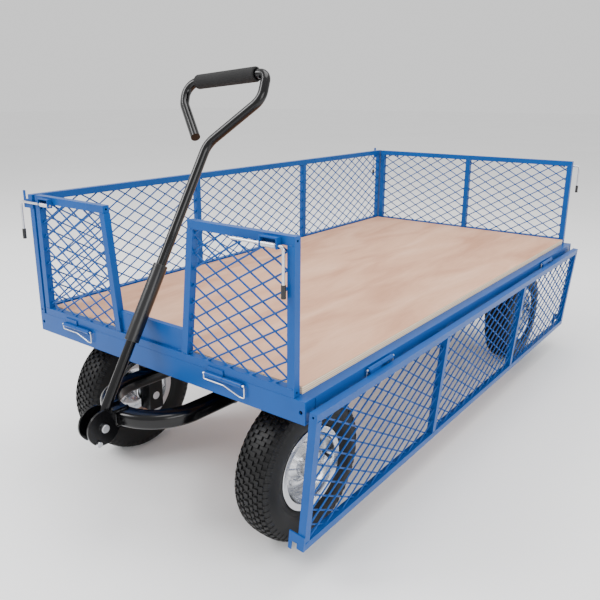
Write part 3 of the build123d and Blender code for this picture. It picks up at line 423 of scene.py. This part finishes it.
RIM_PROFILE = [
    (-0.0420, 0.1120), (-0.0432, 0.1132), (-0.0444, 0.1122), (-0.0440, 0.1080), (-0.0425, 0.0960), (-0.0360, 0.0950),
    (-0.0260, 0.0880), (-0.0200, 0.0825), (0.0200, 0.0825), (0.0260, 0.0880), (0.0360, 0.0950), (0.0425, 0.0960),
    (0.0440, 0.1080), (0.0444, 0.1122), (0.0432, 0.1132), (0.0420, 0.1120), (0.0412, 0.1040), (0.0390, 0.1015),
    (0.0310, 0.1010), (0.0230, 0.0900), (0.0180, 0.0852), (-0.0180, 0.0852), (-0.0230, 0.0900), (-0.0310, 0.1010),
    (-0.0390, 0.1015), (-0.0412, 0.1040),
]
DISC_PROFILE = [
    (-0.0040, 0.0835), (-0.0028, 0.0780), (0.0005, 0.0700), (0.0035, 0.0640), (0.0040, 0.0560), (0.0010, 0.0470),
    (0.0060, 0.0380), (0.0120, 0.0298), (0.0154, 0.0298), (0.0094, 0.0392), (0.0044, 0.0472), (0.0072, 0.0552),
    (0.0067, 0.0652), (0.0032, 0.0722), (0.0002, 0.0790), (-0.0008, 0.0835),
]
HUB_PROFILE = [(-0.052, 0.0243), (-0.052, 0.0282), (-0.050, 0.0300), (0.050, 0.0300), (0.052, 0.0282), (0.052, 0.0243)]


def hexagon(radius, low, high):
    """Hexagonal nut or bolt head along X with chamfered corners."""
    rings = []
    for axial, scale in ((low, 0.93), (low + 0.0012, 1.0), (high - 0.0016, 1.0), (high, 0.88)):
        rings.append([Vector((axial, y, z)) for y, z in circle(radius * scale, 6)])
    vertices = [v for ring in rings for v in ring]
    faces = [tuple(range(6)), tuple(18 + i for i in reversed(range(6)))]
    for ring in range(3):
        for i in range(6):
            faces.append((ring * 6 + i, ring * 6 + (i + 1) % 6, ring * 6 + 6 + (i + 1) % 6, ring * 6 + 6 + i))
    return vertices, faces


BOLT_RADIUS, BOLT_CIRCLE = 0.0075, 0.0560
VALVE_RADIUS = 0.0042
VALVE_STEM = [(0.012, 0.0840, 0), (0.022, 0.0800, 0), (0.034, 0.0770, 0), (0.040, 0.0760, 0)]
VALVE_CAP = [(0.036, 0.0766, 0), (0.046, 0.0750, 0)]
AXLE_NUT_RADIUS = 0.0185


def build_wheel(corner):
    """Tyre, rim, disc bolts, valve and axle nut of one wheel."""
    outward = 1 if "right" in corner else -1
    joint = joints["roll_" + corner]
    matrix = place_matrix(joint, outward)
    body = "wheel_" + corner
    carcass, blocks = tyre_parts()
    tyre = add_piece("tyre_look_" + corner, *moved(carcass, matrix), "tyre_rubber", body, 50)
    tread = add_piece("tread_look_" + corner, *moved(blocks, matrix), "tyre_rubber", body, 20)
    bevel(tread, 0.0009, 2)
    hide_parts("tyre_" + corner)
    rim_parts = [revolved(RIM_PROFILE, 96), revolved(DISC_PROFILE, 96), revolved(HUB_PROFILE, 64)]
    rim = add_piece("rim_look_" + corner, *moved(joined(rim_parts), matrix), "rim_silver", body, 40)
    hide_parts("rim_" + corner)
    bolts = []
    for index in range(4):
        turn = Matrix.Rotation(math.pi / 4 + index * math.pi / 2, 4, "X")
        seat = turn @ Matrix.Translation((0, BOLT_CIRCLE, 0))
        bolts.append(moved(hexagon(BOLT_RADIUS, 0.0060, 0.0125), seat))
        bolts.append(moved(hexagon(BOLT_RADIUS, -0.0025, 0.0042), seat))
    add_piece("rim_bolts_" + corner, *moved(joined(bolts), matrix), "zinc", body, 25)
    stem = swept([Vector(point) for point in VALVE_STEM], circle(VALVE_RADIUS, 12))
    cap = swept([Vector(point) for point in VALVE_CAP], circle(VALVE_RADIUS + 0.001, 12))
    add_piece("valve_" + corner, *moved(joined([stem, cap]), matrix), "black_rubber", body)
    axle_body = "front_axle" if "front" in corner else "chassis"
    nut = hexagon(AXLE_NUT_RADIUS, 0.0566, 0.0636)
    add_piece("axle_nut_" + corner, *moved(nut, matrix), "zinc", axle_body, 25)


for corner in CORNERS:
    build_wheel(corner)


# ---------------------------------------------------------------- wire mesh


def clip_line(point, direction, corners):
    """Part of a line inside a convex outline, as two distances, or nothing."""
    low, high = -10.0, 10.0
    for index, corner in enumerate(corners):
        edge = corners[(index + 1) % len(corners)] - corner
        inward = Vector((-edge.y, edge.x))
        speed = direction.dot(inward)
        offset = (point - corner).dot(inward)
        if abs(speed) < 1e-9:
            if offset < 0:
                return None
            continue
        reach = -offset / speed
        if speed > 0:
            low = max(low, reach)
        else:
            high = min(high, reach)
    return (low, high) if high - low > SHORTEST_WIRE else None


def wire_bay(corners, origin, right, up):
    """Two families of crossing wires in one bay, welded where they cross."""
    out = right.cross(up)
    middle = sum(corners, Vector((0, 0))) / len(corners)
    wires = []
    for lean in (-1, 1):
        direction = Vector((DIAMOND_LENGTH, lean * DIAMOND_HEIGHT)).normalized()
        depth = lean * WIRE_RADIUS * 0.8
        for index in range(-16, 17):
            point = middle + Vector((index * DIAMOND_LENGTH + DIAMOND_LENGTH / 2, 0))
            span = clip_line(point, direction, corners)
            if span is None:
                continue
            ends = [point + direction * reach for reach in (span[0] - WIRE_OVERLAP, span[1] + WIRE_OVERLAP)]
            path = [origin + right * end.x + up * end.y + out * depth for end in ends]
            wires.append(swept(path, circle(WIRE_RADIUS, 8), up=out))
    return joined(wires)


def panel_mesh(name, bays, matrix, body):
    """Wire mesh of one panel."""
    piece = add_piece(name + "_wires", *moved(joined(bays), matrix), "blue_paint", body, 60)
    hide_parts(name)


front_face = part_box("front_beam")[0][1]
rear_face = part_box("rear_beam")[1][1]
left_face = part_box("left_beam")[0][0]
right_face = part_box("right_beam")[1][0]
frame_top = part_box("left_beam")[1][2]
bay_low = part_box("left_panel_mesh")[0][2]
bay_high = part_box("left_panel_mesh")[1][2]
centre_x = (left_face + right_face) / 2
bed_length = rear_face - front_face
bay_pitch = (bed_length - MEMBER) / SIDE_BAYS
hang_angle = math.pi + math.atan2(HINGE_OUT + MEMBER / 2, HINGE_DROP + PANEL_HEIGHT / 2)
right_hinge = Matrix.Translation(joints["right_panel_fold"]["pos_m"])
hung = right_hinge @ Matrix.Rotation(hang_angle, 4, "Y") @ right_hinge.inverted()

IDENTITY = Matrix.Identity(4)
ALONG_Y, ALONG_X, UP = Vector((0, 1, 0)), Vector((1, 0, 0)), Vector((0, 0, 1))


def rectangle(low, high):
    """Anticlockwise corners of a rectangle."""
    return [Vector(point) for point in ((low[0], low[1]), (high[0], low[1]), (high[0], high[1]), (low[0], high[1]))]


for side_name, side_x, side_matrix in (
    ("left_panel_mesh", left_face + MEMBER / 2, IDENTITY),
    ("right_panel_mesh", right_face - MEMBER / 2, hung),
):
    side_bays = []
    for bay in range(SIDE_BAYS):
        start = front_face + MEMBER + bay * bay_pitch
        outline = rectangle((start, bay_low), (start + bay_pitch - MEMBER, bay_high))
        side_bays.append(wire_bay(outline, Vector((side_x, 0, 0)), ALONG_Y, UP))
    panel_mesh(side_name, side_bays, side_matrix, side_name.replace("_mesh", ""))

rear_low, rear_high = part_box("rear_panel_mesh")
rear_bays = []
for inner, outer in ((rear_low[0], centre_x - MEMBER / 2), (centre_x + MEMBER / 2, rear_high[0])):
    outline = rectangle((inner, bay_low), (outer, bay_high))
    rear_bays.append(wire_bay(outline, Vector((0, rear_face - MEMBER / 2, 0)), ALONG_X, UP))
panel_mesh("rear_panel_mesh", rear_bays, IDENTITY, "rear_panel")

NOTCH_BOTTOM, NOTCH_TOP = 0.116, 0.156
front_low, front_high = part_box("front_panel_mesh")


def notch_x(height):
    """Half width of the front panel's notch at a height."""
    return NOTCH_BOTTOM + (height - frame_top) * (NOTCH_TOP - NOTCH_BOTTOM) / PANEL_HEIGHT


front_bays = []
for side in (-1, 1):
    edge_low = centre_x + side * (notch_x(bay_low) + MEMBER)
    edge_high = centre_x + side * (notch_x(bay_high) + MEMBER)
    outer = front_low[0] if side < 0 else front_high[0]
    points = (outer, bay_low), (edge_low, bay_low), (edge_high, bay_high), (outer, bay_high)
    outline = [Vector(point) for point in points]
    if side > 0:
        outline.reverse()
    front_bays.append(wire_bay(outline, Vector((0, front_face + MEMBER / 2, 0)), ALONG_X, UP))
panel_mesh("front_panel_mesh", front_bays, IDENTITY, "front_panel")


# ---------------------------------------------------------------- drawbar yoke

steering = joints["steering"]
wheel_axis = Vector(joints["roll_front_left"]["axis"])
steer_angle = math.atan2(wheel_axis.y, wheel_axis.x)
steered = Matrix.Translation((*steering["pos_m"][:2], 0)) @ Matrix.Rotation(steer_angle, 4, "Z")
YOKE_SPREAD, YOKE_WIDTH, YOKE_BEND, YOKE_BACK = 0.134, 0.050, 0.165, 0.030
YOKE_ROUNDING = 0.012
yoke_low, yoke_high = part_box("drawbar_yoke")
yoke_z = (yoke_low[2] + yoke_high[2]) / 2
yoke_path = [Vector((YOKE_SPREAD, YOKE_BACK, yoke_z)), Vector((YOKE_SPREAD, -YOKE_BEND, yoke_z))]
ARC_STEPS = 48
for step in range(1, ARC_STEPS):
    turn = math.pi * step / ARC_STEPS
    yoke_path.append(Vector((YOKE_SPREAD * math.cos(turn), -YOKE_BEND - YOKE_SPREAD * math.sin(turn), yoke_z)))
yoke_path += [Vector((-YOKE_SPREAD, -YOKE_BEND, yoke_z)), Vector((-YOKE_SPREAD, YOKE_BACK, yoke_z))]
yoke_section = rounded_rectangle(YOKE_WIDTH, yoke_high[2] - yoke_low[2], YOKE_ROUNDING)
yoke = add_piece("yoke_look", *moved(swept(yoke_path, yoke_section), steered), "black_paint", "front_axle", 40)
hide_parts("drawbar_yoke")


# ---------------------------------------------------------------- CAD nodes with rounded edges

ROUNDING = {
    "front_beam": 0.0022, "rear_beam": 0.0022, "left_beam": 0.0022, "right_beam": 0.0022, "cross_members": 0.002,
    "bolsters": 0.002, "deck_board": 0.0008, "rear_axle_beam": 0.003, "rear_axle_legs": 0.004, "front_axle_beam": 0.003,
    "front_axle_legs": 0.004, "left_panel_frame": 0.0016, "right_panel_frame": 0.0016, "rear_panel_frame": 0.0016,
    "front_panel_frame": 0.0016, "front_centre_plate": 0.0006, "clevis_cheeks": 0.0012, "handle_grip": 0.004,
    "handle_sleeve": 0.0015, "front_latch_brackets": 0.0006, "rear_latch_brackets": 0.0006,
    "turntable_upper_ring": 0.0012, "turntable_lower_ring": 0.0012, "yoke_bolts": 0.0008, "clevis_bolts": 0.0022,
    "kingpin": 0.001, "front_stub_axles": 0.001, "rear_stub_axles": 0.001, "bed_hinge_barrels": 0.0006,
    "hinge_pins": 0.0006, "deck_screws": 0.0004,
}
for node, rounding in ROUNDING.items():
    refined(node, rounding)
SMOOTH_ONLY = ["handle_tube", "hinge_keepers", "front_latch_springs", "rear_latch_springs"]
SMOOTH_ONLY += [kind + corner for kind in ("latch_rod_", "bearings_") for corner in CORNERS]
for node in SMOOTH_ONLY:
    refined(node, 0)
for corner in CORNERS:
    refined("latch_grip_" + corner, 0.0012)


# ---------------------------------------------------------------- beam ends

END_PLATE = 0.003


def slab(low, high):
    """Flat plate between two opposite corners."""
    vertices = [Vector((x, y, z)) for x in (low[0], high[0]) for y in (low[1], high[1]) for z in (low[2], high[2])]
    return vertices, [(0, 1, 3, 2), (4, 6, 7, 5), (0, 4, 5, 1), (2, 3, 7, 6), (0, 2, 6, 4), (1, 5, 7, 3)]


def beam_end_plates(beam):
    """Plates that close both ends of an end beam's channel, set just inside it."""
    low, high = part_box(beam)
    plates = []
    for x in (low[0] + END_PLATE / 2, high[0] - END_PLATE * 1.5):
        near = (x, low[1] + END_PLATE, low[2] + END_PLATE)
        far = (x + END_PLATE, high[1] - END_PLATE / 6, high[2] - END_PLATE)
        plates.append(slab(near, far))
    piece = add_piece(beam + "_end_plates", *joined(plates), "blue_paint", "chassis", 30)
    bevel(piece, 0.0006, 2)


beam_end_plates("front_beam")
beam_end_plates("rear_beam")


# ---------------------------------------------------------------- weld beads

BEAD_INSET = 0.003
PANEL_BEAD = 0.0016
NOTCH_BEAD = 0.0018
AXLE_BEAD = 0.0026


def side_beads(x_face, matrix, name, body):
    """Beads where a side panel's posts meet its rails."""
    beads = []
    for post in range(SIDE_BAYS + 1):
        start = front_face + post * bay_pitch
        for height in (bay_low, bay_high):
            for x in (x_face, x_face + MEMBER if name == "left" else x_face - MEMBER):
                ends = (x, start + BEAD_INSET, height), (x, start + MEMBER - BEAD_INSET, height)
                beads.append(bead(*ends, PANEL_BEAD))
    add_piece("welds_" + name + "_panel", *moved(joined(beads), matrix), "blue_paint", body, 60)


side_beads(left_face, IDENTITY, "left", "left_panel")
side_beads(right_face, hung, "right", "right_panel")

end_beads = {"front_panel": [], "rear_panel": []}
panel_left, panel_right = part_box("rear_panel_frame")[0][0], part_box("rear_panel_frame")[1][0]
END_FACES = (
    (front_face, "front_panel"),
    (front_face + MEMBER, "front_panel"),
    (rear_face, "rear_panel"),
    (rear_face - MEMBER, "rear_panel"),
)
for face, body in END_FACES:
    starts = [panel_left, panel_right - MEMBER]
    if body == "rear_panel":
        starts.append(centre_x - MEMBER / 2)
    for start in starts:
        for height in (bay_low, bay_high):
            ends = (start + BEAD_INSET, face, height), (start + MEMBER - BEAD_INSET, face, height)
            end_beads[body].append(bead(*ends, PANEL_BEAD))
    if body == "front_panel":
        for side in (-1, 1):
            for height in (bay_low, bay_high):
                inner = centre_x + side * notch_x(height)
                near, far = inner + side * BEAD_INSET, inner + side * (MEMBER - BEAD_INSET)
                end_beads[body].append(bead((near, face, height), (far, face, height), NOTCH_BEAD))
plate_low, plate_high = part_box("front_centre_plate")
for side in (-1, 1):
    edge = centre_x + side * (notch_x(bay_low) - 0.001)
    start = (edge, plate_low[1], plate_low[2] + 0.002)
    end = (edge - side * 0.020, plate_low[1], plate_low[2] + 0.001)
    end_beads["front_panel"].append(bead(start, end, 0.0026))
    top = centre_x + side * (notch_x(plate_high[2]) - 0.001)
    start = (top, plate_low[1], plate_high[2] - 0.004)
    end = (top - side * 0.002, plate_low[1], plate_high[2] - 0.022)
    end_beads["front_panel"].append(bead(start, end, 0.0024))
for body, beads in end_beads.items():
    add_piece("welds_" + body, *joined(beads), "blue_paint", body, 60)

LEG_OUTER, LEG_SIZE, LEG_INSET = 0.292, 0.050, 0.004


def axle_beads(node, matrix, name, body):
    """Beads where an axle's two legs meet its beam."""
    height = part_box(node)[1][2]
    beads = []
    for side in (-1, 1):
        inner = side * (LEG_OUTER - LEG_SIZE + LEG_INSET)
        outer = side * (LEG_OUTER - LEG_INSET)
        for edge in (-1, 1):
            y = edge * LEG_SIZE / 2
            beads.append(bead((inner, y, height), (outer, y, height), AXLE_BEAD))
    add_piece(name, *moved(joined(beads), matrix), "black_paint", body, 60)


rear_axle = Matrix.Translation((centre_x, joints["roll_rear_left"]["pos_m"][1], 0))
axle_beads("rear_axle_legs", rear_axle, "welds_rear_axle", "chassis")
axle_beads("front_axle_legs", steered, "welds_front_axle", "front_axle")

CHEEK_BACK, CHEEK_FRONT, CHEEK_OUTER = 0.287, 0.323, 0.023
CHEEK_END = 0.3245
beads = []
for side in (-1, 1):
    for height in (yoke_low[2], yoke_high[2]):
        ends = (side * CHEEK_OUTER, -CHEEK_BACK, height), (side * CHEEK_OUTER, -CHEEK_FRONT, height)
        beads.append(bead(*ends, AXLE_BEAD))
    low, high = yoke_low[2] + BEAD_INSET, yoke_high[2] - BEAD_INSET
    beads.append(bead((side * CHEEK_OUTER, -CHEEK_END, low), (side * CHEEK_OUTER, -CHEEK_END, high), 0.0028))
add_piece("welds_clevis", *moved(joined(beads), steered), "black_paint", "front_axle", 60)


# ---------------------------------------------------------------- stage, light and camera

floor_mesh = bpy.data.meshes.new("floor")
FLOOR_HALF = 40.0
floor_corners = [(x * FLOOR_HALF, y * FLOOR_HALF, 0) for x, y in ((-1, -1), (1, -1), (1, 1), (-1, 1))]
floor_mesh.from_pydata(floor_corners, [], [(0, 1, 2, 3)])
floor = bpy.data.objects.new("floor", floor_mesh)
bpy.context.scene.collection.objects.link(floor)
floor_material, floor_nodes, floor_links, floor_shader = new_material("floor")
floor_shader.inputs["Roughness"].default_value = 0.9
floor_cloud = noise(floor_nodes, floor_links, 0.6)
FLOOR_TINTS = [(0.3, (0.95, 0.95, 0.95)), (0.7, (0.98, 0.98, 0.98))]
floor_tint = ramp(floor_nodes, floor_links, floor_cloud.outputs["Fac"], FLOOR_TINTS)
floor_links.new(floor_tint.outputs["Color"], floor_shader.inputs["Base Color"])
floor_mesh.materials.append(floor_material)

world = bpy.data.worlds.new("studio")
world.use_nodes = True
world.node_tree.nodes["Background"].inputs["Color"].default_value = (1.0, 1.0, 1.0, 1)
world.node_tree.nodes["Background"].inputs["Strength"].default_value = 1.0
bpy.context.scene.world = world


def area_light(name, place, target, size, power):
    """Square soft light aimed at a point."""
    data = bpy.data.lights.new(name, "AREA")
    data.shape = "SQUARE"
    data.size = size
    data.energy = power
    lamp = bpy.data.objects.new(name, data)
    lamp.location = place
    lamp.rotation_euler = (Vector(target) - Vector(place)).to_track_quat("-Z", "Y").to_euler()
    bpy.context.scene.collection.objects.link(lamp)


area_light("key", (-3.0, -3.5, 4.2), (0, 0, 0.4), 2.6, 260)
area_light("top", (0.6, 0.4, 5.0), (0, 0, 0.4), 3.5, 190)
area_light("fill", (4.2, -2.0, 2.2), (0, 0, 0.4), 2.5, 90)

SENSOR = 36.0
LENS = 39.5286
SHIFT_X, SHIFT_Y = 0.028533, -0.028583
CAMERA_PLACE = (1.26125, -1.95145, 1.12335)
CAMERA_AZIMUTH, CAMERA_ELEVATION, CAMERA_ROLL = 0.6650, 0.2791, 0.0002
camera_data = bpy.data.cameras.new("camera")
camera_data.sensor_width = SENSOR
camera_data.lens = LENS
camera_data.shift_x = SHIFT_X
camera_data.shift_y = SHIFT_Y
camera = bpy.data.objects.new("camera", camera_data)
bpy.context.scene.collection.objects.link(camera)
back = Vector((
    math.sin(CAMERA_AZIMUTH) * math.cos(CAMERA_ELEVATION),
    -math.cos(CAMERA_AZIMUTH) * math.cos(CAMERA_ELEVATION),
    math.sin(CAMERA_ELEVATION),
))
right = Vector((math.cos(CAMERA_AZIMUTH), math.sin(CAMERA_AZIMUTH), 0))
turned_up = back.cross(right)
rolled_right = right * math.cos(CAMERA_ROLL) + turned_up * math.sin(CAMERA_ROLL)
rolled_up = back.cross(rolled_right)
camera.matrix_world = Matrix((
    (rolled_right.x, rolled_up.x, back.x, CAMERA_PLACE[0]),
    (rolled_right.y, rolled_up.y, back.y, CAMERA_PLACE[1]),
    (rolled_right.z, rolled_up.z, back.z, CAMERA_PLACE[2]),
    (0, 0, 0, 1),
))
bpy.context.scene.camera = camera
